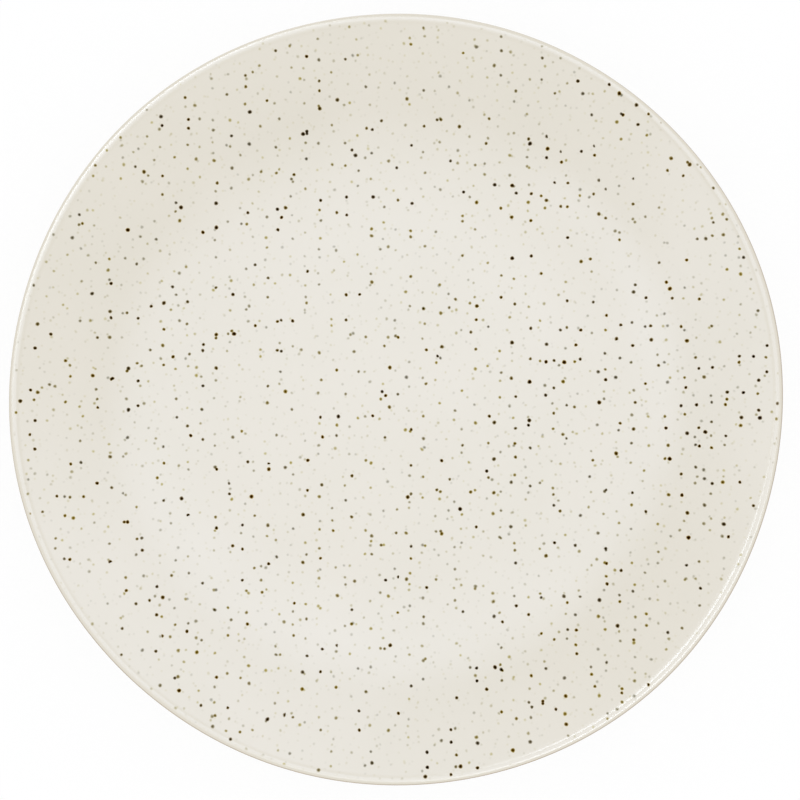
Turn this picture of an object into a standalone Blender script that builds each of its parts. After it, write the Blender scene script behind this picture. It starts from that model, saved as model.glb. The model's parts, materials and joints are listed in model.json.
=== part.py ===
"""Coupe side plate in stoneware: a turned clay body on a foot ring, under two coats of glaze.

Run it with blender --background --python part.py. Metres, +Z up. The origin is the centre of the
foot ring, in the plane that the plate stands on.
"""

import math
from dataclasses import dataclass

import bpy

# The glazed plate over all
PLATE_DIAMETER = 0.200
PLATE_HEIGHT = 0.022

# Clay of the well, the wall and the lip
FLOOR_RADIUS = 0.054
FLOOR_THICKNESS = 0.0038
WALL_THICKNESS = 0.0036
WELL_SWEEP = 0.056
LIP_RADIUS = 0.0007

# Clay of the foot ring
FOOT_RADIUS = 0.059
FOOT_WIDTH = 0.0055
FOOT_EDGE = 0.0012
FOOT_FILLET = 0.0025
RECESS_DEPTH = 0.0034
RECESS_FILLET = 0.0020

# Glaze, and the clearance that keeps each coat off the clay
GLAZE_THICKNESS = 0.0005
GLAZE_GAP = 0.0003

# Fineness: steps round the plate, and how far a facet may lie inside its true arc
TURN_STEPS = 60
FACET_DEPTH = 0.00004
GLAZE_EDGE_STEPS = 4
AXIS_MERGE = 0.00001

UP = math.pi / 2
DOWN = -math.pi / 2
COAT = GLAZE_GAP + GLAZE_THICKNESS

CLAY_COLOUR = (0.56, 0.44, 0.31, 1)
CLAY_ROUGHNESS = 0.85
GLAZE_COLOUR = (0.80, 0.77, 0.70, 1)
GLAZE_ROUGHNESS = 0.15


@dataclass(frozen=True)
class Arc:
    """A round stretch of the clay's outline, in the plane of radius and height.

    Its radius is positive where the clay bulges and negative where it is hollow.
    """

    r: float
    z: float
    radius: float


@dataclass(frozen=True)
class Station:
    """A point of the clay's outline, with the angle of the normal that leaves the clay there."""

    r: float
    z: float
    normal: float

    def raised(self, height):
        """The point this far off the clay."""
        return (
            self.r + height * math.cos(self.normal),
            self.z + height * math.sin(self.normal),
        )


def clay_arcs():
    """The arcs of the clay's outline, from the well round the lip and the foot to the recess.

    Straight stretches are left out: each is the line that touches the arcs before and after it.
    """
    floor_z = RECESS_DEPTH + FLOOR_THICKNESS
    lip_r = PLATE_DIAMETER / 2 - COAT - LIP_RADIUS
    lip_z = PLATE_HEIGHT - COAT - LIP_RADIUS

    # The wall needs room to leave the sweep in a straight line before it reaches the lip.
    span = lip_r - FLOOR_RADIUS
    rise = lip_z - floor_z
    flare = max(LIP_RADIUS, WALL_THICKNESS - LIP_RADIUS)
    largest_sweep = (span**2 + rise**2 - flare**2) / (2 * (rise + flare))
    sweep = min(WELL_SWEEP, largest_sweep)
    sweep_z = floor_z + sweep

    # The foot's outer fillet touches the flank, which is concentric with the sweep of the well.
    foot_fillet = min(FOOT_FILLET, floor_z - WALL_THICKNESS - FOOT_EDGE)
    fillet_r = FOOT_RADIUS + foot_fillet
    past_floor = max(0, fillet_r - FLOOR_RADIUS)
    fillet_z = sweep_z - math.sqrt((sweep + WALL_THICKNESS + foot_fillet) ** 2 - past_floor**2)

    recess_fillet = min(RECESS_FILLET, RECESS_DEPTH - FOOT_EDGE)
    recess_r = FOOT_RADIUS - FOOT_WIDTH
    return [
        Arc(FLOOR_RADIUS, sweep_z, -sweep),
        Arc(lip_r, lip_z, LIP_RADIUS),
        Arc(FLOOR_RADIUS, sweep_z, sweep + WALL_THICKNESS),
        Arc(fillet_r, fillet_z, -foot_fillet),
        Arc(FOOT_RADIUS - FOOT_EDGE, FOOT_EDGE, FOOT_EDGE),
        Arc(recess_r + FOOT_EDGE, FOOT_EDGE, FOOT_EDGE),
        Arc(recess_r - recess_fillet, RECESS_DEPTH - recess_fillet, -recess_fillet),
    ]


def shared_normal(first, second):
    """The angle of the normal of the straight line that touches one arc and then the next."""
    across = second.r - first.r
    up = second.z - first.z
    lean = (first.radius - second.radius) / math.hypot(across, up)
    return math.atan2(up, across) + math.acos(max(-1, min(1, lean)))


def stations(arc, start, end):
    """Stations along an arc, between the normals at its two ends.

    It is divided at its highest and widest points first, so that the plate keeps its full size.
    """
    if arc.radius < 0:
        end = start + (end - start) % math.tau
    else:
        end = start - (start - end) % math.tau
    corners = [turn for turn in (0, UP) if min(start, end) < turn < max(start, end)]
    cuts = sorted([start, *corners, end], reverse=end < start)
    facet = 2 * math.acos(max(0, 1 - FACET_DEPTH / abs(arc.radius + COAT)))
    normals = [start]
    for first, last in zip(cuts, cuts[1:]):
        steps = math.ceil(abs(last - first) / facet)
        normals += [first + (last - first) * step / steps for step in range(1, steps + 1)]
    return [
        Station(arc.r + arc.radius * math.cos(n), arc.z + arc.radius * math.sin(n), n)
        for n in normals
    ]


def clay_outline():
    """The clay's stations in three stretches: under the main glaze, bare, and under the recess glaze."""
    arcs = clay_arcs()
    joins = [shared_normal(first, second) for first, second in zip(arcs, arcs[1:])]
    ends = [UP, *joins, DOWN]
    runs = [stations(arc, start, end) for arc, start, end in zip(arcs, ends, ends[1:])]
    well, lip, flank, foot_fillet, foot_outer, foot_inner, recess_fillet = runs
    well_centre = Station(0, RECESS_DEPTH + FLOOR_THICKNESS, UP)
    recess_centre = Station(0, RECESS_DEPTH, DOWN)
    return (
        [well_centre, *well, *lip, *flank, *foot_fillet],
        [*foot_outer, *foot_inner],
        [*recess_fillet, recess_centre],
    )


def glaze_edge(station, start):
    """The half-round free edge of a coat, turned clockwise from the start angle."""
    r, z = station.raised(GLAZE_GAP + GLAZE_THICKNESS / 2)
    turns = [math.pi * step / GLAZE_EDGE_STEPS for step in range(1, GLAZE_EDGE_STEPS)]
    return [Station(r, z, start - turn).raised(GLAZE_THICKNESS / 2) for turn in turns]


def principled(name, colour, roughness):
    """A plain material with the piece's colour and gloss."""
    material = bpy.data.materials.new(name)
    material.use_nodes = True
    shader = material.node_tree.nodes["Principled BSDF"]
    shader.inputs["Base Color"].default_value = colour
    shader.inputs["Roughness"].default_value = roughness
    shader.inputs["Metallic"].default_value = 0
    material.diffuse_color = colour
    return material


def turned(name, profile, material, parent, collection):
    """A solid turned about the vertical axis from a profile that runs clockwise, axis to axis."""
    mesh = bpy.data.meshes.new(name)
    links = [(i, i + 1) for i in range(len(profile) - 1)]
    mesh.from_pydata([(r, 0, z) for r, z in profile], links, [])
    mesh.materials.append(material)
    piece = bpy.data.objects.new(name, mesh)
    piece.parent = parent
    collection.objects.link(piece)

    screw = piece.modifiers.new("Turn", "SCREW")
    screw.axis = "Z"
    screw.angle = math.tau
    screw.steps = TURN_STEPS
    screw.render_steps = TURN_STEPS
    screw.use_smooth_shade = True
    screw.use_merge_vertices = True
    screw.merge_threshold = AXIS_MERGE


def stoneware_body(face, foot, recess):
    """Profile of the fired clay: well, wall, lip, flank, bare foot ring and recess."""
    return [station.raised(0) for station in face + foot + recess]


def glaze_coat(face):
    """Profile of the main coat: out over the face, round the lip, down to the foot and back."""
    outside = [station.raised(COAT) for station in face]
    inside = [station.raised(GLAZE_GAP) for station in reversed(face)]
    return outside + glaze_edge(face[-1], face[-1].normal) + inside


def foot_recess_glaze(recess):
    """Profile of the coat inside the foot ring: out along the clay and back along its free face."""
    inside = [station.raised(GLAZE_GAP) for station in reversed(recess)]
    outside = [station.raised(COAT) for station in recess]
    return inside + glaze_edge(recess[0], recess[0].normal + math.pi) + outside


def main():
    """Clears the scene and builds the plate."""
    for old in list(bpy.data.objects):
        bpy.data.objects.remove(old, do_unlink=True)

    collection = bpy.data.collections.new("side_plate")
    bpy.context.scene.collection.children.link(collection)
    stand = bpy.data.objects.new("plate_origin", None)
    collection.objects.link(stand)

    clay = principled("fired_stoneware", CLAY_COLOUR, CLAY_ROUGHNESS)
    glaze = principled("speckled_glaze", GLAZE_COLOUR, GLAZE_ROUGHNESS)
    recess_glaze = principled("speckled_glaze_recess", GLAZE_COLOUR, GLAZE_ROUGHNESS)

    face, foot, recess = clay_outline()
    turned("stoneware_body", stoneware_body(face, foot, recess), clay, stand, collection)
    turned("glaze_coat", glaze_coat(face), glaze, stand, collection)
    turned("foot_recess_glaze", foot_recess_glaze(recess), recess_glaze, stand, collection)


main()
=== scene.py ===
"""Looks of a coupe side plate in speckled stoneware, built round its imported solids.

Metres, +Z up, with the origin at the centre of the foot ring. Five finely turned pieces stand for the
three CAD nodes: the clay body, the glaze over the face, the glaze in the hollow under the lip, the glaze
round the lip and down the flank, and the glaze inside the foot ring.
"""

import json
import logging
import math
from collections.abc import Mapping
from dataclasses import dataclass, field, replace
from enum import Enum

import bmesh
import bpy
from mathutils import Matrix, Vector, noise


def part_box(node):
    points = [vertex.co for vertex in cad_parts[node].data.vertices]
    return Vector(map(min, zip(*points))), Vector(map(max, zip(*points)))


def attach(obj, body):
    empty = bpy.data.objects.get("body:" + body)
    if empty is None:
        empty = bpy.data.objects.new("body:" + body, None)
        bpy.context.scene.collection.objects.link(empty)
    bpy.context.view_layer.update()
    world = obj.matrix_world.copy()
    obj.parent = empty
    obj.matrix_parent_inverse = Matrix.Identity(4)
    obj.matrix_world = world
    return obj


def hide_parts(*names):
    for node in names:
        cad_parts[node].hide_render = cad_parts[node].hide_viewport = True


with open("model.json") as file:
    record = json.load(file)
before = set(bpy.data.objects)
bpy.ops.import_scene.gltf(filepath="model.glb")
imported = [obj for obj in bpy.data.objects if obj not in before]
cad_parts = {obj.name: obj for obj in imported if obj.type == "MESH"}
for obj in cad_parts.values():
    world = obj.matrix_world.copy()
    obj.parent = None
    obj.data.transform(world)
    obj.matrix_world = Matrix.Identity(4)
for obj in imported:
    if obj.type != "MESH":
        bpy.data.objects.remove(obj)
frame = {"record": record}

LOG = logging.getLogger("side_plate")
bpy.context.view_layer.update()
BODY = "root"

MM = 0.001
UP = math.pi / 2
DOWN = -math.pi / 2
IMAGE_SIDE = 800

# The map for baking a finished piece's colours, and the radius that each point was turned to
BAKE_MAP = "OFBake"
TURNED_RADIUS = "turned_radius"

# The level that noise varies round, in each channel
NOISE_MIDDLE = (0.5, 0.5, 0.5)

# Sockets of the Mix node when it mixes colours
MIX_FACTOR = 0
MIX_A = 6
MIX_B = 7
MIX_RESULT = 2

Point = tuple[float, float]
Colour = tuple[float, float, float, float]


class Solid(Enum):
    """The CAD nodes that the turned pieces stand for."""

    CLAY = "stoneware_body"
    COAT = "glaze_coat"
    RECESS = "foot_recess_glaze"


class Slot(Enum):
    """The record's material slots."""

    CLAY = "fired_stoneware"
    GLAZE = "speckled_glaze"


class Sees(Enum):
    """What a lamp lights: all there is, or only gloss, or only gloss on the rim or on its lip."""

    ALL = "all"
    GLOSS = "gloss"
    RIM = "rim"
    LIP = "lip"


def linear(hex_colour: str) -> Colour:
    """Turns an sRGB hex colour into linear light.

    Args:
        hex_colour: Six hex digits after a hash sign.

    Returns:
        Linear red, green and blue, and an alpha of 1.
    """
    shares = [int(hex_colour[i : i + 2], 16) / 255 for i in (1, 3, 5)]
    red, green, blue = (s / 12.92 if s <= 0.04045 else ((s + 0.055) / 1.055) ** 2.4 for s in shares)
    return red, green, blue, 1.0


def add_node(
    tree: bpy.types.NodeTree,
    kind: str,
    settings: Mapping[str, object] | None = None,
    inputs: Mapping[str | int, object] | None = None,
) -> bpy.types.Node:
    """Adds a node with its settings and its inputs.

    Args:
        tree: The node tree that takes the node.
        kind: Blender's name for the node type.
        settings: The node's own properties.
        inputs: A value or another node's output for each socket, by name or number.

    Returns:
        The new node.
    """
    node = tree.nodes.new(kind)
    for name, value in (settings or {}).items():
        setattr(node, name, value)
    for name, value in (inputs or {}).items():
        if isinstance(value, bpy.types.NodeSocket):
            tree.links.new(value, node.inputs[name])
        else:
            node.inputs[name].default_value = value
    return node


def work_out(
    tree: bpy.types.NodeTree, operation: str, *values: bpy.types.NodeSocket | float
) -> bpy.types.NodeSocket:
    """Adds a sum.

    Args:
        tree: The node tree that takes it.
        operation: Blender's name for the operation.
        values: The numbers that go in, or other nodes' outputs.

    Returns:
        The result.
    """
    settings = {"operation": operation}
    return add_node(tree, "ShaderNodeMath", settings, dict(enumerate(values))).outputs["Value"]


def blend(
    tree: bpy.types.NodeTree,
    share: bpy.types.NodeSocket | float,
    one: bpy.types.NodeSocket | Colour,
    other: bpy.types.NodeSocket | Colour,
    mode: str = "MIX",
) -> bpy.types.NodeSocket:
    """Adds a mix of two colours.

    Args:
        tree: The node tree that takes it.
        share: How much of the other colour there is.
        one: The first colour.
        other: The other colour.
        mode: Blender's name for the way they mix.

    Returns:
        The mixed colour.
    """
    settings = {"data_type": "RGBA", "blend_type": mode}
    inputs = {MIX_FACTOR: share, MIX_A: one, MIX_B: other}
    return add_node(tree, "ShaderNodeMix", settings, inputs).outputs[MIX_RESULT]


@dataclass(frozen=True)
class Bend:
    """A round stretch of the section, in the plane of radius and height.

    Its radius is positive where the plate bulges and negative where it is hollow. First and last are the
    angles of the normals that leave the plate at its two ends.
    """

    r: float
    z: float
    radius: float
    first: float = 0.0
    last: float = 0.0

    def point(self, normal: float) -> Point:
        """The point of the bend where this normal leaves it."""
        return self.r + self.radius * math.cos(normal), self.z + self.radius * math.sin(normal)

    def sunk(self, depth: float) -> "Bend":
        """The same bend this far inside the plate."""
        return replace(self, radius=self.radius - depth)

    def backwards(self) -> "Bend":
        """The same bend, drawn from its other end."""
        return replace(self, first=self.last, last=self.first)

    def normal_to(self, after: "Bend") -> float:
        """Finds the normal of the straight line that touches this bend and then the next.

        Args:
            after: The next bend.

        Returns:
            The angle of that normal.
        """
        across = after.r - self.r
        rise = after.z - self.z
        lean = (self.radius - after.radius) / math.hypot(across, rise)
        return math.atan2(rise, across) + math.acos(max(-1.0, min(1.0, lean)))


def joined(bends: list[Bend], start: float, end: float) -> list[Bend]:
    """Sets the normals at the ends of each bend of a chain.

    Args:
        bends: The chain. Straight lines between them touch both neighbours.
        start: The normal where the chain begins.
        end: The normal where it ends.

    Returns:
        The chain with its normals.
    """
    joins = [one.normal_to(after) for one, after in zip(bends, bends[1:])]
    ends = [start, *joins, end]
    chain = []
    for bend, first, last in zip(bends, ends, ends[1:]):
        turn = (last - first) % math.tau if bend.radius < 0 else -((first - last) % math.tau)
        chain.append(replace(bend, first=first, last=first + turn))
    return chain


@dataclass(frozen=True)
class Section:
    """Half section of the glazed plate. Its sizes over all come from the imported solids."""

    rim_radius: float
    height: float
    well_z: float

    # The well, the wall and the rolled lip
    floor_radius: float = 45.0 * MM
    dish: float = 150.0 * MM
    dish_radius: float = 61.0 * MM
    well_radius: float = 54.0 * MM
    sweep: float = 55.2 * MM
    wall: float = 5.2 * MM
    lip: float = 1.4 * MM
    lip_fillet: float = 4.8 * MM
    lip_tilt: float = math.radians(32)
    lip_lead: float = 0.4 * MM

    # The foot ring and the recess inside it
    foot_radius: float = 59.0 * MM
    foot_width: float = 5.5 * MM
    foot_edge: float = 1.2 * MM
    foot_fillet: float = 1.7 * MM
    recess_z: float = 2.6 * MM
    recess_fillet: float = 1.2 * MM

    # The room that a coat takes on the clay's CAD solid, its own thickness, and how far it bites in
    coat: float = 0.8 * MM
    glaze: float = 0.5 * MM
    bond: float = 0.02 * MM

    @classmethod
    def from_frame(cls) -> "Section":
        """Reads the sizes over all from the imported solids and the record's mounts.

        Returns:
            The section.
        """
        mounts = {mount["name"]: mount for mount in frame["record"]["mounts"]}
        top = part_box(Solid.COAT.value)[1]
        return cls(rim_radius=top.x, height=top.z, well_z=mounts["well_floor"]["pos_m"][2])

    def rim(self) -> Bend:
        """The full round of the lip."""
        return Bend(self.rim_radius - self.lip, self.height - self.lip, self.lip)

    def upper(self) -> list[Bend]:
        """The upper face, from the well to the start of the flank.

        Returns:
            The shallow dish of the well, its sweep, the hollow under the rolled lip, and the lip.
        """
        rim = self.rim()
        reach = self.lip + self.lip_fillet
        roll = UP + self.lip_tilt
        hollow = Bend(
            rim.r + reach * math.cos(roll), rim.z + reach * math.sin(roll), -self.lip_fillet
        )
        dish = Bend(self.floor_radius, self.well_z + self.dish, -self.dish)
        rise = UP + math.asin((self.dish_radius - self.floor_radius) / self.dish)
        r, z = dish.point(rise)
        sweep = Bend(
            r + self.sweep * math.cos(rise), z + self.sweep * math.sin(rise), -self.sweep
        )
        return joined([dish, sweep, hollow, rim], UP, rim.normal_to(self.flank()))

    def wall_top(self, depth: float = 0.0) -> Point:
        """Finds where the glaze of the face meets the glaze of the hollow, on the straight of the wall.

        Args:
            depth: How far inside the plate.

        Returns:
            The point, a short lead below the hollow under the lip.
        """
        _, _, hollow, _ = self.upper()
        r, z = hollow.sunk(depth).point(hollow.first)
        return (
            r - self.lip_lead * math.sin(hollow.first),
            z + self.lip_lead * math.cos(hollow.first),
        )

    def flank(self) -> Bend:
        """The underside, round the same centre as the sweep would have without the dish."""
        return Bend(self.well_radius, self.well_z + self.sweep, self.sweep + self.wall)

    def under(self) -> list[Bend]:
        """The underside, from the lip to the edge of the glaze above the foot.

        Returns:
            The flank and the fillet of the foot.
        """
        flank = self.flank()
        fillet_r = self.foot_radius + self.coat + self.foot_fillet
        drop = math.sqrt((flank.radius + self.foot_fillet) ** 2 - (fillet_r - flank.r) ** 2)
        fillet = Bend(fillet_r, flank.z - drop, -self.foot_fillet)
        return joined([flank, fillet], self.rim().normal_to(flank), 0.0)

    def foot(self) -> list[Bend]:
        """The bare faces of the foot ring.

        Returns:
            Its outer edge and its inner one.
        """
        inner = self.foot_radius - self.foot_width + self.foot_edge
        edges = [
            Bend(self.foot_radius - self.foot_edge, self.foot_edge, self.foot_edge),
            Bend(inner, self.foot_edge, self.foot_edge),
        ]
        return joined(edges, 0.0, -math.pi)

    def recess(self) -> list[Bend]:
        """The glazed recess inside the foot ring.

        Returns:
            Its fillet.
        """
        fillet_r = self.foot_radius - self.foot_width - self.coat - self.recess_fillet
        fillet = Bend(fillet_r, self.recess_z - self.recess_fillet, -self.recess_fillet)
        return joined([fillet], -math.pi, DOWN)

    def glaze_edge(self, bend: Bend, normal: float, start: float) -> Bend:
        """The half-round free edge of a coat.

        Args:
            bend: The bend of the coat's outer face that ends there.
            normal: The normal where it ends.
            start: The normal where the edge's own round starts.

        Returns:
            The bend of the edge.
        """
        r, z = bend.sunk(self.glaze / 2).point(normal)
        return Bend(r, z, self.glaze / 2, start, start - math.pi)


@dataclass(frozen=True)
class Wave:
    """One regular wave round the rim: how many crests, how high, and where the first one stands."""

    crests: int
    height: float
    bearing: float

    def at(self, angle: float) -> float:
        """Height of the wave at this angle round the plate."""
        return self.height * math.cos(self.crests * (angle - math.radians(self.bearing)))


@dataclass(frozen=True)
class HandWork:
    """The small unevenness of a plate that was shaped and glazed by hand."""

    rim_radius: float
    foot_height: float = 3.0 * MM
    out_of_round: tuple[Wave, ...] = (
        Wave(2, 0.16 * MM, -15),
        Wave(3, 0.13 * MM, 55),
        Wave(4, 0.14 * MM, 34),
        Wave(6, 0.13 * MM, 14),
    )
    rim_rise: tuple[Wave, ...] = (Wave(2, 0.15 * MM, 70), Wave(3, 0.10 * MM, 10))
    ripple: float = 0.03 * MM
    ripple_size: float = 14.0 * MM

    def moved(self, spot: Vector) -> Vector:
        """Moves a point of the true turned form to its place on the hand-made one.

        Args:
            spot: The point of the true form.

        Returns:
            The moved point. The foot ring stays where it is.
        """
        r = math.hypot(spot.x, spot.y)
        if r == 0:
            return spot.copy()
        angle = math.atan2(spot.y, spot.x)
        share = r / self.rim_radius
        lift = max(0.0, min(1.0, (spot.z - self.foot_height) / self.foot_height))
        swell = lift * share**3 * sum(wave.at(angle) for wave in self.out_of_round)
        rise = lift * share**4 * sum(wave.at(angle) for wave in self.rim_rise)
        rise += lift * self.ripple * noise.noise(spot / self.ripple_size)
        return Vector((spot.x * (1 + swell / r), spot.y * (1 + swell / r), spot.z + rise))


@dataclass(frozen=True)
class Chart:
    """A ring of the bake map that holds one stretch of a turned piece."""

    station: int
    centre: Point
    start: float
    end: float


@dataclass
class Lathe:
    """Draws a half section stretch by stretch, and turns it about the plate's axis."""

    step: float = 1.7 * MM
    step_angle: float = math.radians(4)
    turns: int = 240
    merge: float = 0.001 * MM
    sharp: float = math.radians(50)
    bm: bmesh.types.BMesh = field(default_factory=bmesh.new)
    charts: list[Chart] = field(default_factory=list)
    coarse: float = 1.0
    tip: bmesh.types.BMVert | None = None

    def chart(self, centre: Point, start: float, end: float, coarse: float = 1.0) -> None:
        """Begins a new stretch at the tip of the section.

        Args:
            centre: The middle of its ring in the bake map.
            start: The ring's radius at the tip.
            end: The ring's radius at the stretch's far end.
            coarse: How many times longer the steps are than on a face that shows.
        """
        station = max(0, len(self.bm.verts) - 1)
        self.charts.append(Chart(station, centre, start, end))
        self.coarse = coarse

    def line(self, point: Point) -> None:
        """Draws a straight stretch, in steps, or sets down the first point.

        Args:
            point: Radius and height of its far end.
        """
        far = Vector((point[0], 0.0, point[1]))
        if self.tip is None:
            self.tip = bmesh.ops.create_vert(self.bm, co=far)["vert"][0]
            return
        near = self.tip.co.copy()
        length = (far - near).length
        if length < self.merge:
            return
        steps = math.ceil(length / self.step / self.coarse)
        for count in range(1, steps + 1):
            self.tip = bmesh.ops.extrude_vert_indiv(self.bm, verts=[self.tip])["verts"][0]
            self.tip.co = near.lerp(far, count / steps)

    def bend(self, bend: Bend) -> None:
        """Draws a round stretch, after a straight one that leads to it.

        Args:
            bend: The stretch.
        """
        self.line(bend.point(bend.first))
        turn = bend.last - bend.first
        by_length = abs(bend.radius * turn) / self.step
        by_angle = abs(turn) / self.step_angle
        swept = bmesh.ops.spin(
            self.bm,
            geom=[self.tip],
            cent=(bend.r, 0.0, bend.z),
            axis=(0.0, -1.0, 0.0),
            angle=turn,
            steps=math.ceil(max(by_length, by_angle) / self.coarse),
        )
        self.tip = swept["geom_last"][0]

    def turned(self, name: str, hand: HandWork, closed: bool) -> bpy.types.Object:
        """Turns the section into a finished piece.

        Args:
            name: The piece's name.
            hand: The unevenness that it gets.
            closed: Whether the section's last point joins its first.

        Returns:
            The piece, at the origin.
        """
        bm = self.bm
        bm.verts.ensure_lookup_table()
        station = bm.verts.layers.int.new("station")
        reaches = [0.0]
        for index, vert in enumerate(bm.verts):
            vert[station] = index
            if index:
                reaches.append(reaches[-1] + (vert.co - bm.verts[index - 1].co).length)
        if closed:
            first, last = bm.verts[0], bm.verts[-1]
            reaches.append(reaches[-1] + (first.co - last.co).length)
            bm.edges.new((last, first))
        bmesh.ops.spin(
            bm,
            geom=[*bm.verts, *bm.edges],
            cent=(0.0, 0.0, 0.0),
            axis=(0.0, 0.0, 1.0),
            angle=math.tau,
            steps=self.turns,
            use_merge=True,
        )
        bmesh.ops.remove_doubles(bm, verts=bm.verts, dist=self.merge)
        bmesh.ops.recalc_face_normals(bm, faces=bm.faces)
        self._map(reaches)
        radius = bm.verts.layers.float.new(TURNED_RADIUS)
        for vert in bm.verts:
            vert[radius] = math.hypot(vert.co.x, vert.co.y)
            vert.co = hand.moved(vert.co)
        mesh = bpy.data.meshes.new(name)
        bm.to_mesh(mesh)
        bm.free()
        mesh.shade_smooth()
        mesh.set_sharp_from_angle(angle=self.sharp)
        piece = bpy.data.objects.new(name, mesh)
        bpy.context.scene.collection.objects.link(piece)
        return piece

    def _map(self, reaches: list[float]) -> None:
        """Lays each stretch out as a flat ring in the bake map.

        Args:
            reaches: The length along the section at each station.
        """
        station = self.bm.verts.layers.int["station"]
        uv = self.bm.loops.layers.uv.new(BAKE_MAP)
        ends = [*(chart.station for chart in self.charts[1:]), len(reaches) - 1]
        for face in self.bm.faces:
            stations = [vert[station] for vert in face.verts]
            closing = max(stations) - min(stations) > 1
            lowest = max(stations) if closing else min(stations)
            which = max(i for i, chart in enumerate(self.charts) if chart.station <= lowest)
            chart = self.charts[which]
            near, far = reaches[chart.station], reaches[ends[which]]
            for loop in face.loops:
                at = loop.vert[station]
                reach = reaches[-1] if closing and at == 0 else reaches[at]
                share = (reach - near) / (far - near)
                radius = chart.start + (chart.end - chart.start) * share
                angle = math.atan2(loop.vert.co.y, loop.vert.co.x)
                loop[uv].uv = (
                    chart.centre[0] + radius * math.cos(angle),
                    chart.centre[1] + radius * math.sin(angle),
                )


# Rings of the bake map, as shares of its side: a large disc, the band round it, and what fits inside
MAP_MIDDLE = (0.5, 0.5)
MAP_FULL = 0.49
MAP_BAND = 0.85 * MAP_FULL
MAP_INSIDE = 0.80 * MAP_FULL
MAP_BACK_START = MAP_FULL / 2
MAP_BACK_END = MAP_FULL / 5

# A small disc in a corner of the bake map
MAP_CORNER = (0.07, 0.07)
MAP_SMALL = 0.06

# How much coarser the faces are that lie hidden between the glaze and the clay
HIDDEN = 4.0


@dataclass
class TurnedPiece:
    """A piece turned from the plate's section, with its finish."""

    section: Section
    hand: HandWork
    material: bpy.types.Material
    name: str = ""
    solid: Solid = Solid.COAT
    slot: Slot = Slot.GLAZE

    def draw(self, lathe: Lathe) -> bool:
        """Draws the piece's section.

        Args:
            lathe: The lathe that draws it.

        Returns:
            Whether the section is a closed loop.
        """
        raise NotImplementedError

    def build(self) -> bpy.types.Object:
        """Turns the piece from its section.

        Returns:
            The piece, at the origin.
        """
        lathe = Lathe()
        closed = self.draw(lathe)
        return lathe.turned(self.name, self.hand, closed)

    def dress(self, piece: bpy.types.Object) -> None:
        """Gives the piece its material and its body, and hides the solid that it stands for.

        Args:
            piece: The built piece.
        """
        piece.data.materials.append(self.material)
        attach(piece, BODY)
        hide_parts(self.solid.value)


@dataclass
class GlazeFace(TurnedPiece):
    """The glaze over the well and the wall."""

    name: str = "glaze_face"

    def draw(self, lathe: Lathe) -> bool:
        """Draws the free face out from the axis, and the face against the clay back to it.

        Args:
            lathe: The lathe that draws it.

        Returns:
            Whether the section is a closed loop.
        """
        section = self.section
        *face, _, _ = section.upper()
        lathe.line((0.0, section.well_z))
        lathe.chart(MAP_MIDDLE, 0.0, MAP_FULL)
        for bend in face:
            lathe.bend(bend)
        lathe.line(section.wall_top())
        lathe.chart(MAP_CORNER, MAP_SMALL, 0.0, HIDDEN)
        lathe.line(section.wall_top(section.glaze))
        for bend in reversed(face):
            lathe.bend(bend.sunk(section.glaze).backwards())
        lathe.line((0.0, section.well_z - section.glaze))
        return False


@dataclass
class GlazeHollow(TurnedPiece):
    """The glaze in the hollow between the wall and the rolled lip."""

    name: str = "glaze_hollow"

    def draw(self, lathe: Lathe) -> bool:
        """Draws the free face from the wall to the lip, and the face against the clay back.

        Args:
            lathe: The lathe that draws it.

        Returns:
            Whether the section is a closed loop.
        """
        section = self.section
        _, _, hollow, _ = section.upper()
        lathe.line(section.wall_top())
        lathe.chart(MAP_MIDDLE, MAP_INSIDE, MAP_FULL)
        lathe.bend(hollow)
        lathe.chart(MAP_MIDDLE, MAP_BACK_START, MAP_BACK_END, HIDDEN)
        lathe.bend(hollow.sunk(section.glaze).backwards())
        lathe.line(section.wall_top(section.glaze))
        return True


@dataclass
class GlazeLip(TurnedPiece):
    """The glaze round the lip and down the flank, with its rolled edge above the foot."""

    name: str = "glaze_lip"

    def draw(self, lathe: Lathe) -> bool:
        """Draws the free face from the lip to the foot, the rolled edge, and the face on the clay.

        Args:
            lathe: The lathe that draws it.

        Returns:
            Whether the section is a closed loop.
        """
        section = self.section
        rim = section.upper()[-1]
        face = [rim, *section.under()]
        lathe.line(rim.point(rim.first))
        lathe.chart(MAP_MIDDLE, MAP_FULL, MAP_FULL * section.foot_radius / section.rim_radius)
        for bend in face:
            lathe.bend(bend)
        lathe.bend(section.glaze_edge(face[-1], face[-1].last, face[-1].last))
        lathe.chart(MAP_MIDDLE, MAP_BACK_START, MAP_BACK_END, HIDDEN)
        for bend in reversed(face):
            lathe.bend(bend.sunk(section.glaze).backwards())
        return True


@dataclass
class RecessGlaze(TurnedPiece):
    """The glaze inside the foot ring."""

    name: str = "foot_recess_glaze_coat"
    solid: Solid = Solid.RECESS

    def draw(self, lathe: Lathe) -> bool:
        """Draws the face against the clay out from the axis, the rolled edge, and the free face back.

        Args:
            lathe: The lathe that draws it.

        Returns:
            Whether the section is a closed loop.
        """
        section = self.section
        (fillet,) = section.recess()
        lathe.line((0.0, section.recess_z + section.glaze))
        lathe.chart(MAP_CORNER, 0.0, MAP_SMALL, HIDDEN)
        lathe.bend(fillet.sunk(section.glaze).backwards())
        lathe.chart(MAP_MIDDLE, MAP_FULL, 0.0)
        lathe.bend(section.glaze_edge(fillet, fillet.first, fillet.first + math.pi))
        lathe.bend(fillet)
        lathe.line((0.0, section.recess_z))
        return False


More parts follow.
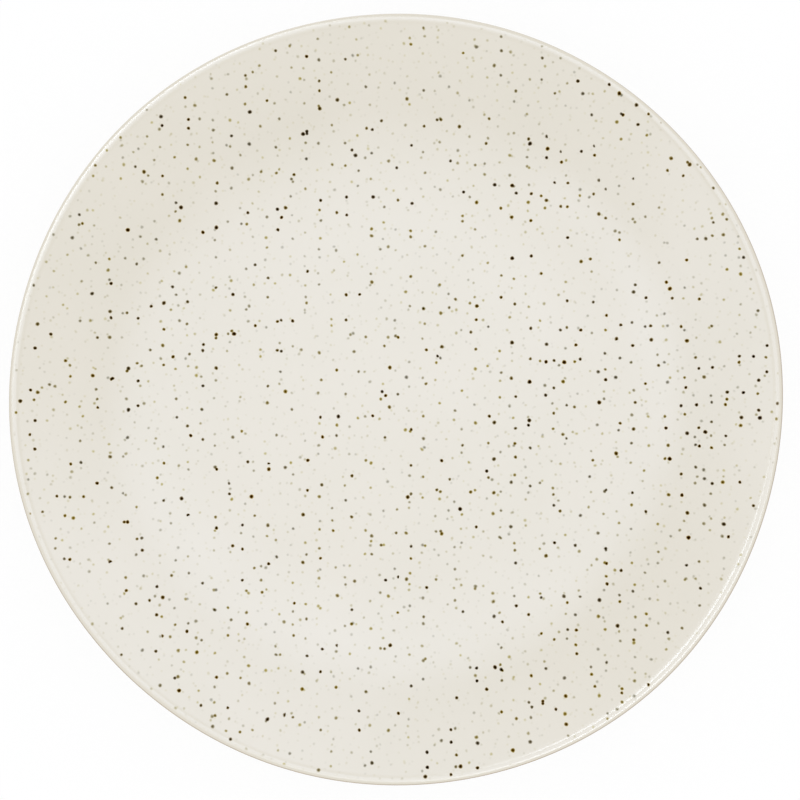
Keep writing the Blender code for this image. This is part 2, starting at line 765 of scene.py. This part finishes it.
@dataclass
class ClayBody(TurnedPiece):
    """The fired clay, bare on the foot ring and hidden under the glaze elsewhere."""

    name: str = "stoneware_clay"
    solid: Solid = Solid.CLAY
    slot: Slot = Slot.CLAY

    def draw(self, lathe: Lathe) -> bool:
        """Draws the clay under the face and the flank, round the bare foot, and under the recess.

        Args:
            lathe: The lathe that draws it.

        Returns:
            Whether the section is a closed loop.
        """
        section = self.section
        depth = section.glaze - section.bond
        (fillet,) = section.recess()
        lathe.line((0.0, section.well_z - depth))
        lathe.chart(MAP_CORNER, 0.0, MAP_SMALL, HIDDEN)
        for bend in [*section.upper(), *section.under()]:
            lathe.bend(bend.sunk(depth))
        lathe.chart(MAP_MIDDLE, MAP_FULL, MAP_BAND)
        for bend in section.foot():
            lathe.bend(bend)
        lathe.chart(MAP_MIDDLE, MAP_INSIDE, 0.0, HIDDEN)
        lathe.bend(fillet.sunk(depth))
        lathe.line((0.0, section.recess_z + depth))
        return False


@dataclass(frozen=True)
class Specks:
    """Iron grains in the glaze, one in each cell of an uneven grid.

    Their depths run from the palest, which only tint the glaze, to the darkest, which burn through it,
    and the higher the rarity is, the fewer are dark.
    """

    spacing: float
    least: float
    most: float
    shift: Point
    palest: float = 0.06
    darkest: float = 6.0
    rarity: float = 2.7


@dataclass(frozen=True)
class SpeckledGlaze:
    """Oatmeal-white stoneware glaze, dipped and fired glossy over an iron-bearing clay.

    It gives the eye a warm off-white, with dark iron grains that melt into amber at their edges, a soft
    orange-peel gloss, and a tan line where the glaze runs thin on the lip, laid on darker as painted
    shade on the side away from the upper-left lamps.
    """

    pooled: str = "#E7E1D4"
    thin: str = "#E1DBCC"
    lip: str = "#DFD8C8"
    # Tan of thin glaze on the lip's edge, also used as painted shade on the side away from the upper-left
    # lamps
    break_shade: str = "#9C8462"
    amber: str = "#AEA35B"
    grey: str = "#A4A69F"
    rust: str = "#FFEBDA"

    # Size and fineness of the clouding, the orange peel and the wander in the outlines of the specks
    cloud: float = 26.0 * MM
    cloud_detail: float = 3.0
    peel: float = 2.2 * MM
    peel_detail: float = 2.0
    peel_depth: float = 0.005 * MM
    warp: float = 1.1 * MM
    warp_detail: float = 1.0
    warp_reach: float = 0.32 * MM

    # Levels that most of the clouding lies between, and how far specks and roughness drift with it
    cloud_low: float = 0.3
    cloud_high: float = 0.7
    speck_drift: float = 0.25
    roughness_drift: float = 0.03

    roughness: float = 0.22
    ior: float = 1.5
    shine: float = 0.5
    pit: float = 0.25

    # The tan line on the lip is thin glaze and also painted shade, darkest on the side away from the
    #     # upper-left lamps: the bearing of the lit side, where it is absent, how far across the plate
    #     the tan line
    #     # then fades, as a share of the rim's radius, and its width as a share of the lip's radius
    lit_bearing: float = 117.0
    shade_fade: float = -0.5
    shaded_break_width: float = 1 / 3

    # Where the specks fade out: near the rim, in radii of the lip, and by the normal's upward share
    last_specks: float = 1.5
    no_specks: float = 0.6
    steep: float = 0.35
    level: float = 0.60

    rust_rarity: float = 4.0
    # The finest grains are too small to show, so they are drawn at the width of two or three pixels.
    specks: tuple[Specks, ...] = (
        Specks(3.40 * MM, 0.49 * MM, 0.52 * MM, (0.013, 0.007)),
        Specks(3.90 * MM, 0.50 * MM, 0.56 * MM, (0.031, 0.019)),
        Specks(4.55 * MM, 0.51 * MM, 0.67 * MM, (0.047, 0.029)),
    )

    def material(self, section: Section) -> bpy.types.Material:
        """Makes the material.

        Args:
            section: The plate's section, which says where the lip is.

        Returns:
            The material.
        """
        material = bpy.data.materials.new("speckled_stoneware_glaze")
        material.use_nodes = True
        tree = material.node_tree
        shader = tree.nodes["Principled BSDF"]
        place = add_node(tree, "ShaderNodeTexCoord").outputs["Object"]
        clouds = add_node(
            tree,
            "ShaderNodeTexNoise",
            inputs={"Vector": place, "Scale": 1 / self.cloud, "Detail": self.cloud_detail},
        ).outputs["Fac"]
        edge = self._edge(tree, section.rim_radius - section.lip, section.rim_radius)
        bare = self._edge(
            tree,
            section.rim_radius - self.last_specks * section.lip,
            section.rim_radius - self.no_specks * section.lip,
        )
        colour = blend(tree, clouds, linear(self.pooled), linear(self.thin))
        colour = blend(tree, edge, colour, linear(self.lip))
        # Painted shade: the tan edge of the lip is laid on darker on the side away from the upper-left
        # lamps
        colour = blend(tree, self._shaded_break(tree, place, section), colour, linear(self.break_shade))
        drift = add_node(
            tree,
            "ShaderNodeMapRange",
            inputs={
                "Value": clouds,
                "From Min": self.cloud_low,
                "From Max": self.cloud_high,
                "To Min": 1 - self.speck_drift,
                "To Max": 1 + self.speck_drift,
            },
        ).outputs["Result"]
        strength = work_out(tree, "MULTIPLY", drift, work_out(tree, "SUBTRACT", 1.0, bare))
        strength = work_out(tree, "MULTIPLY", strength, self._held(tree))
        warped = self._warped(tree, place)
        shine = self.shine
        for specks in self.specks:
            depth, stain = self._burn(tree, specks, warped, strength)
            colour = blend(tree, 1.0, colour, stain, "MULTIPLY")
            shine = work_out(tree, "MULTIPLY", shine, work_out(tree, "POWER", self.pit, depth))
        peel = add_node(
            tree,
            "ShaderNodeTexNoise",
            inputs={"Vector": place, "Scale": 1 / self.peel, "Detail": self.peel_detail},
        )
        bump = add_node(
            tree,
            "ShaderNodeBump",
            inputs={"Height": peel.outputs["Fac"], "Distance": self.peel_depth},
        )
        gloss = add_node(
            tree,
            "ShaderNodeMapRange",
            inputs={
                "Value": clouds,
                "From Min": self.cloud_low,
                "From Max": self.cloud_high,
                "To Min": self.roughness - self.roughness_drift,
                "To Max": self.roughness + self.roughness_drift,
            },
        )
        tree.links.new(colour, shader.inputs["Base Color"])
        tree.links.new(bump.outputs["Normal"], shader.inputs["Normal"])
        tree.links.new(gloss.outputs["Result"], shader.inputs["Roughness"])
        tree.links.new(shine, shader.inputs["Specular IOR Level"])
        shader.inputs["IOR"].default_value = self.ior
        return material

    def _edge(self, tree: bpy.types.NodeTree, near: float, far: float) -> bpy.types.NodeSocket:
        """Tells the rim of the plate from the rest.

        Args:
            tree: The material's nodes.
            near: The turned radius where the change begins.
            far: The turned radius where it ends.

        Returns:
            0 inside the near radius, and 1 outside the far one.
        """
        radius = add_node(tree, "ShaderNodeAttribute", {"attribute_name": TURNED_RADIUS})
        return add_node(
            tree,
            "ShaderNodeMapRange",
            {"interpolation_type": "SMOOTHSTEP"},
            {"Value": radius.outputs["Fac"], "From Min": near, "From Max": far},
        ).outputs["Result"]

    def _shaded_break(
        self, tree: bpy.types.NodeTree, place: bpy.types.NodeSocket, section: Section
    ) -> bpy.types.NodeSocket:
        """Tells where the edge of the lip turns tan, partly as thin glaze and partly as painted shade.

        Args:
            tree: The material's nodes.
            place: Where the surface is.
            section: The plate's section.

        Returns:
            How tan it is: most on the side away from the upper-left lamps, as painted shade, and not at
            all on the lit side.
        """
        rim = section.rim_radius
        line = self._edge(tree, rim - self.shaded_break_width * section.lip, rim)
        turn = math.radians(self.lit_bearing)
        along = add_node(
            tree,
            "ShaderNodeVectorMath",
            {"operation": "DOT_PRODUCT"},
            {0: place, 1: (math.cos(turn), math.sin(turn), 0.0)},
        )
        shade_fade = add_node(
            tree,
            "ShaderNodeMapRange",
            {"interpolation_type": "SMOOTHSTEP"},
            {"Value": along.outputs["Value"], "From Min": rim, "From Max": self.shade_fade * rim},
        )
        return work_out(tree, "MULTIPLY", line, shade_fade.outputs["Result"])

    def _held(self, tree: bpy.types.NodeTree) -> bpy.types.NodeSocket:
        """Tells where the grains stayed in the glaze, which ran thin on the steep faces above the foot.

        Args:
            tree: The material's nodes.

        Returns:
            0 on a steep face, and 1 on a level one.
        """
        facing = add_node(
            tree,
            "ShaderNodeSeparateXYZ",
            inputs={"Vector": add_node(tree, "ShaderNodeNewGeometry").outputs["Normal"]},
        )
        return add_node(
            tree,
            "ShaderNodeMapRange",
            {"interpolation_type": "SMOOTHSTEP"},
            {
                "Value": work_out(tree, "ABSOLUTE", facing.outputs["Z"]),
                "From Min": self.steep,
                "From Max": self.level,
            },
        ).outputs["Result"]

    def _warped(
        self, tree: bpy.types.NodeTree, place: bpy.types.NodeSocket
    ) -> bpy.types.NodeSocket:
        """Bends the places a little, so that the specks aren't quite round.

        Args:
            tree: The material's nodes.
            place: Where the surface is.

        Returns:
            The bent places.
        """
        wander = add_node(
            tree,
            "ShaderNodeTexNoise",
            inputs={"Vector": place, "Scale": 1 / self.warp, "Detail": self.warp_detail},
        )
        centred = add_node(
            tree,
            "ShaderNodeVectorMath",
            {"operation": "SUBTRACT"},
            {0: wander.outputs["Color"], 1: NOISE_MIDDLE},
        )
        return add_node(
            tree,
            "ShaderNodeVectorMath",
            {"operation": "MULTIPLY_ADD"},
            {0: centred.outputs["Vector"], 1: (self.warp_reach,) * 3, 2: place},
        ).outputs["Vector"]

    def _burn(
        self,
        tree: bpy.types.NodeTree,
        specks: Specks,
        place: bpy.types.NodeSocket,
        strength: bpy.types.NodeSocket,
    ) -> tuple[bpy.types.NodeSocket, bpy.types.NodeSocket]:
        """Burns one set of specks into the glaze, as a stain that deepens toward each grain.

        Args:
            tree: The material's nodes.
            specks: The specks.
            place: Where the surface is.
            strength: How strong they are there.

        Returns:
            How deep the stain is, and the share of the light that it lets through.
        """
        moved = add_node(
            tree,
            "ShaderNodeVectorMath",
            {"operation": "ADD"},
            {0: place, 1: (*specks.shift, 0.0)},
        )
        cells = add_node(
            tree,
            "ShaderNodeTexVoronoi",
            {"voronoi_dimensions": "2D"},
            {"Vector": moved.outputs["Vector"], "Scale": 1 / specks.spacing},
        )
        chance = add_node(tree, "ShaderNodeSeparateColor", inputs={"Color": cells.outputs["Color"]})
        rare = work_out(tree, "POWER", chance.outputs["Red"], specks.rarity)
        deep = work_out(tree, "POWER", specks.darkest / specks.palest, rare)
        deepest = work_out(tree, "MULTIPLY", deep, specks.palest)
        reach = add_node(
            tree,
            "ShaderNodeMapRange",
            inputs={
                "Value": rare,
                "To Min": specks.least / specks.spacing,
                "To Max": specks.most / specks.spacing,
            },
        )
        depth = add_node(
            tree,
            "ShaderNodeMapRange",
            {"interpolation_type": "SMOOTHSTEP"},
            {
                "Value": cells.outputs["Distance"],
                "From Min": reach.outputs["Result"],
                "From Max": 0.0,
                "To Max": work_out(tree, "MULTIPLY", deepest, strength),
            },
        )
        tint = blend(tree, chance.outputs["Blue"], linear(self.grey), linear(self.amber))
        rustiest = work_out(tree, "POWER", rare, self.rust_rarity)
        rusted = blend(tree, rustiest, tint, linear(self.rust), "MULTIPLY")
        stain = add_node(
            tree, "ShaderNodeGamma", inputs={"Color": rusted, "Gamma": depth.outputs["Result"]}
        )
        return depth.outputs["Result"], stain.outputs["Color"]


@dataclass(frozen=True)
class BareStoneware:
    """Buff stoneware clay, trimmed on the wheel, wiped with a wet sponge and fired bare.

    It gives the eye a matt, sandy buff with darker iron grains and a fine grit.
    """

    buff: str = "#BFA587"
    toasted: str = "#A98A68"
    iron: str = "#5B4636"
    grit: float = 0.5 * MM
    grit_detail: float = 3.0
    grit_depth: float = 0.06 * MM
    patch: float = 6.0 * MM
    patch_detail: float = 4.0
    iron_spacing: float = 2.4 * MM
    iron_radius: float = 0.28 * MM
    roughness: float = 0.88

    def material(self) -> bpy.types.Material:
        """Makes the material.

        Returns:
            The material.
        """
        material = bpy.data.materials.new("bare_buff_stoneware")
        material.use_nodes = True
        tree = material.node_tree
        shader = tree.nodes["Principled BSDF"]
        place = add_node(tree, "ShaderNodeTexCoord").outputs["Object"]
        patches = add_node(
            tree,
            "ShaderNodeTexNoise",
            inputs={"Vector": place, "Scale": 1 / self.patch, "Detail": self.patch_detail},
        )
        clay = blend(tree, patches.outputs["Fac"], linear(self.buff), linear(self.toasted))
        grains = add_node(
            tree,
            "ShaderNodeTexVoronoi",
            inputs={"Vector": place, "Scale": 1 / self.iron_spacing},
        )
        share = self.iron_radius / self.iron_spacing
        dark = add_node(
            tree,
            "ShaderNodeMapRange",
            inputs={
                "Value": grains.outputs["Distance"],
                "From Min": share,
                "From Max": share / 2,
            },
        )
        grained = blend(tree, dark.outputs["Result"], clay, linear(self.iron))
        grit = add_node(
            tree,
            "ShaderNodeTexNoise",
            inputs={"Vector": place, "Scale": 1 / self.grit, "Detail": self.grit_detail},
        )
        bump = add_node(
            tree,
            "ShaderNodeBump",
            inputs={"Height": grit.outputs["Fac"], "Distance": self.grit_depth},
        )
        tree.links.new(grained, shader.inputs["Base Color"])
        tree.links.new(bump.outputs["Normal"], shader.inputs["Normal"])
        shader.inputs["Roughness"].default_value = self.roughness
        return material


# A lamp's own coordinates run from 0 to 1 each way, and its edge is this far from its middle.
LAMP_MIDDLE = (0.5, 0.5, 0.0)
LAMP_EDGE = 0.5

# Colours of the lamps: all are a little blue, like daylight, and the broad ones most
SOFT_BLUE = "#C7D9FF"
PALE_BLUE = "#D8E6FF"
RIM_BLUE = "#DDEAFF"


@dataclass(frozen=True)
class Lamp:
    """A soft lamp that faces the plate, by its bearing, its tilt from overhead and its size.

    Its level is the brightness of its middle, where white paper has a level of 1, and it fades to nothing
    over this share of the way from its middle to its edge.
    """

    name: str
    bearing: float
    tilt: float
    distance: float
    width: float
    depth: float
    level: float
    fade: float = 1.0
    sees: Sees = Sees.GLOSS
    tint: str = SOFT_BLUE

    def hang(self, receivers: bpy.types.Collection | None) -> None:
        """Hangs the lamp in the studio.

        Args:
            receivers: The only pieces that it lights, if it doesn't light all of them.
        """
        turn = math.radians(self.bearing)
        lean = math.radians(self.tilt)
        toward = Vector(
            (math.sin(lean) * math.cos(turn), math.sin(lean) * math.sin(turn), math.cos(lean))
        )
        light = bpy.data.lights.new(self.name, "AREA")
        light.shape = "RECTANGLE"
        light.size = self.width
        light.size_y = self.depth
        light.energy = self.level * math.pi * self.width * self.depth
        light.color = linear(self.tint)[:3]
        light.use_nodes = True
        tree = light.node_tree
        across = add_node(tree, "ShaderNodeNewGeometry").outputs["Parametric"]
        off = add_node(
            tree, "ShaderNodeVectorMath", {"operation": "DISTANCE"}, {0: across, 1: LAMP_MIDDLE}
        )
        share = add_node(
            tree,
            "ShaderNodeMapRange",
            {"interpolation_type": "SMOOTHSTEP"},
            {
                "Value": off.outputs["Value"],
                "From Min": LAMP_EDGE,
                "From Max": LAMP_EDGE * (1 - self.fade),
            },
        )
        tree.links.new(share.outputs["Result"], tree.nodes["Emission"].inputs["Strength"])
        lamp = bpy.data.objects.new(self.name, light)
        lamp.location = toward * self.distance
        lamp.rotation_euler = toward.to_track_quat("Z", "Y").to_euler()
        lamp.visible_camera = False
        lamp.visible_diffuse = self.sees is Sees.ALL
        lamp.light_linking.receiver_collection = receivers
        bpy.context.scene.collection.objects.link(lamp)


@dataclass(frozen=True)
class Studio:
    """White paper floor, soft lamps and a camera straight above the plate."""

    section: Section
    lit: Mapping[Sees, tuple[bpy.types.Object, ...]]
    paper: str = "#FFFFFF"
    floor_radius: float = 3.0
    floor_sides: int = 96
    floor_drop: float = 0.1 * MM
    glow: float = 0.92
    mirrored_glow: float = 0.35
    ambient: float = 0.937
    camera_height: float = 1.05
    sensor: float = 36.0
    lip_pixels: float = 386.8
    centre_pixels: Point = (396.4, 399.35)
    lamps: tuple[Lamp, ...] = (
        Lamp("overhead_softbox", 45, 0, 1.5, 3.0, 3.0, 0.4, sees=Sees.ALL, tint=PALE_BLUE),
        Lamp("overhead_scrim", 45, 0, 1.6, 3.84, 3.84, 0.72, fade=0.85),
        Lamp("upper_right_softbox", 58, 25.6, 1.4, 2.1, 1.93, 1.55, fade=0.61),
        Lamp("lower_left_softbox", 193, 26.4, 1.4, 1.32, 1.25, 1.62, fade=0.8),
        Lamp("upper_left_strip", 137, 53.5, 1.2, 2.2, 0.48, 8.8, fade=0.5, sees=Sees.RIM, tint=RIM_BLUE),
        Lamp("upper_left_card", 143, 50, 0.205, 0.40, 0.10, 4.6, fade=0.8, sees=Sees.LIP, tint=RIM_BLUE),
        Lamp("lower_right_card", -46, 52, 0.205, 0.38, 0.10, 7.0, fade=0.8, sees=Sees.LIP, tint=RIM_BLUE),
        Lamp("upper_card", 82, 52, 0.205, 0.32, 0.12, 1.3, fade=0.8, sees=Sees.LIP, tint=RIM_BLUE),
        Lamp("lower_card", -88, 48, 0.205, 0.26, 0.12, 2.6, fade=0.8, sees=Sees.LIP, tint=RIM_BLUE),
    )

    def build(self) -> None:
        """Sets up the floor, the light and the camera."""
        self._floor()
        self._world()
        receivers = {}
        for sees, pieces in self.lit.items():
            receivers[sees] = bpy.data.collections.new(f"lit_{sees.value}")
            for piece in pieces:
                receivers[sees].objects.link(piece)
        for lamp in self.lamps:
            lamp.hang(receivers.get(lamp.sees))
        self._camera()
        bpy.context.scene.view_settings.view_transform = "Standard"

    def _seen(
        self, tree: bpy.types.NodeTree, in_view: float = 1.0, in_gloss: float = 1.0
    ) -> bpy.types.NodeSocket:
        """Tells the rays that show the background, in view, in gloss or through glass, from the rest.

        Args:
            tree: The node tree that asks.
            in_view: The share for a ray that shows it to the camera.
            in_gloss: The share for a ray that shows it in gloss or through glass.

        Returns:
            The share for the ray, which is 0 for one that only brings light.
        """
        path = add_node(tree, "ShaderNodeLightPath").outputs
        mirrored = work_out(tree, "MAXIMUM", path["Is Glossy Ray"], path["Is Transmission Ray"])
        return work_out(
            tree,
            "MAXIMUM",
            work_out(tree, "MULTIPLY", path["Is Camera Ray"], in_view),
            work_out(tree, "MULTIPLY", mirrored, in_gloss),
        )

    def _floor(self) -> None:
        """Lays the paper floor, which stays white round the plate and keeps a faint shadow."""
        bm = bmesh.new()
        bmesh.ops.create_circle(bm, cap_ends=True, segments=self.floor_sides, radius=self.floor_radius)
        bmesh.ops.translate(bm, verts=bm.verts, vec=(0.0, 0.0, -self.floor_drop))
        mesh = bpy.data.meshes.new("paper_floor")
        bm.to_mesh(mesh)
        bm.free()
        floor = bpy.data.objects.new("paper_floor", mesh)
        bpy.context.scene.collection.objects.link(floor)

        material = bpy.data.materials.new("white_paper")
        material.use_nodes = True
        tree = material.node_tree
        tree.nodes.remove(tree.nodes["Principled BSDF"])
        matt = add_node(tree, "ShaderNodeBsdfDiffuse", inputs={"Color": linear(self.paper)})
        glow = add_node(
            tree, "ShaderNodeEmission", inputs={"Color": linear(self.paper), "Strength": 1.0}
        )
        share = self._seen(tree, self.glow, self.mirrored_glow)
        paper = add_node(
            tree,
            "ShaderNodeMixShader",
            inputs={
                0: share,
                1: matt.outputs["BSDF"],
                2: glow.outputs["Emission"],
            },
        )
        tree.links.new(paper.outputs["Shader"], tree.nodes["Material Output"].inputs["Surface"])
        mesh.materials.append(material)

    def _world(self) -> None:
        """Fills the studio with even light, in front of a white background."""
        world = bpy.data.worlds.new("studio")
        world.use_nodes = True
        tree = world.node_tree
        level = add_node(
            tree,
            "ShaderNodeMapRange",
            inputs={"Value": self._seen(tree), "To Min": self.ambient, "To Max": 1.0},
        )
        tree.links.new(level.outputs["Result"], tree.nodes["Background"].inputs["Strength"])
        tree.nodes["Background"].inputs["Color"].default_value = linear(self.paper)
        bpy.context.scene.world = world

    def _camera(self) -> None:
        """Hangs the camera over the plate, so that the lip fills the photograph's circle."""
        data = bpy.data.cameras.new("overhead_camera")
        rim = self.section.rim()
        distance = self.camera_height - rim.z
        focal_pixels = self.lip_pixels * distance / self.section.rim_radius
        data.sensor_width = self.sensor
        data.lens = self.sensor * focal_pixels / IMAGE_SIDE
        camera = bpy.data.objects.new("overhead_camera", data)
        scale = distance / focal_pixels
        across = IMAGE_SIDE / 2 - self.centre_pixels[0]
        down = IMAGE_SIDE / 2 - self.centre_pixels[1]
        camera.location = (across * scale, -down * scale, self.camera_height)
        bpy.context.scene.collection.objects.link(camera)
        bpy.context.scene.camera = camera


def main() -> None:
    """Builds the plate's pieces in order, and then the studio."""
    logging.basicConfig(level=logging.INFO, format="%(name)s: %(message)s")
    section = Section.from_frame()
    hand = HandWork(section.rim_radius)
    glaze = SpeckledGlaze().material(section)
    clay = BareStoneware().material()
    pieces: dict[type[TurnedPiece], bpy.types.Object] = {}
    for part in (
        ClayBody(section, hand, clay),
        GlazeFace(section, hand, glaze),
        GlazeHollow(section, hand, glaze),
        GlazeLip(section, hand, glaze),
        RecessGlaze(section, hand, glaze),
    ):
        piece = part.build()
        part.dress(piece)
        pieces[type(part)] = piece
        LOG.info("%s: %d faces", piece.name, len(piece.data.polygons))
    hollow = pieces[GlazeHollow]
    lip = pieces[GlazeLip]
    Studio(section, {Sees.RIM: (hollow, lip), Sees.LIP: (lip,)}).build()


if __name__ == "__main__":
    main()
